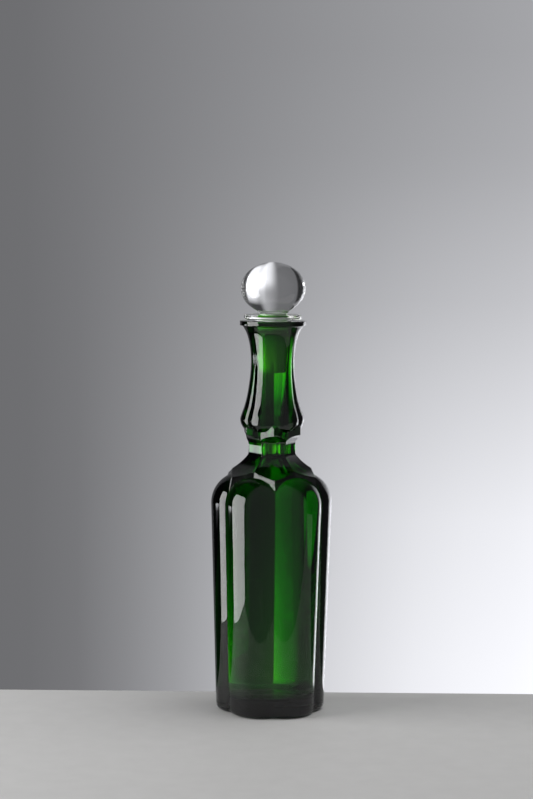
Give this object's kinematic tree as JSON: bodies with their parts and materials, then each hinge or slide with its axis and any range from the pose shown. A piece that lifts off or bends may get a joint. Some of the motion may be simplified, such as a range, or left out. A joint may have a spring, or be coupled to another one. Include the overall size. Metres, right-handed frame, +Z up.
{
  "type": "glass decanter with stopper",
  "caption": "Tall lobed green glass decanter with a fluted waist, a swelling lobed neck, a flat lip and a clear glass ball stopper that lifts out.",
  "frame": {"origin": "centre of the foot, on the surface it stands on", "axes": "+Z up along the bottle's axis; a lobe faces +X and a crease between lobes faces -Y"},
  "size_m": [0.0942, 0.0892, 0.35],
  "materials": {
    "green_glass": "gloss",
    "clear_glass": "gloss"
  },
  "bodies": {
    "bottle": {"bottle": "green_glass"},
    "stopper": {"stopper": "clear_glass"}
  },
  "joints": [
    {"name": "stopper_lift", "type": "slide", "parent": "bottle", "child": "stopper", "axis": [0, 0, 1], "range_m": [0, 0.08]}
  ]
}
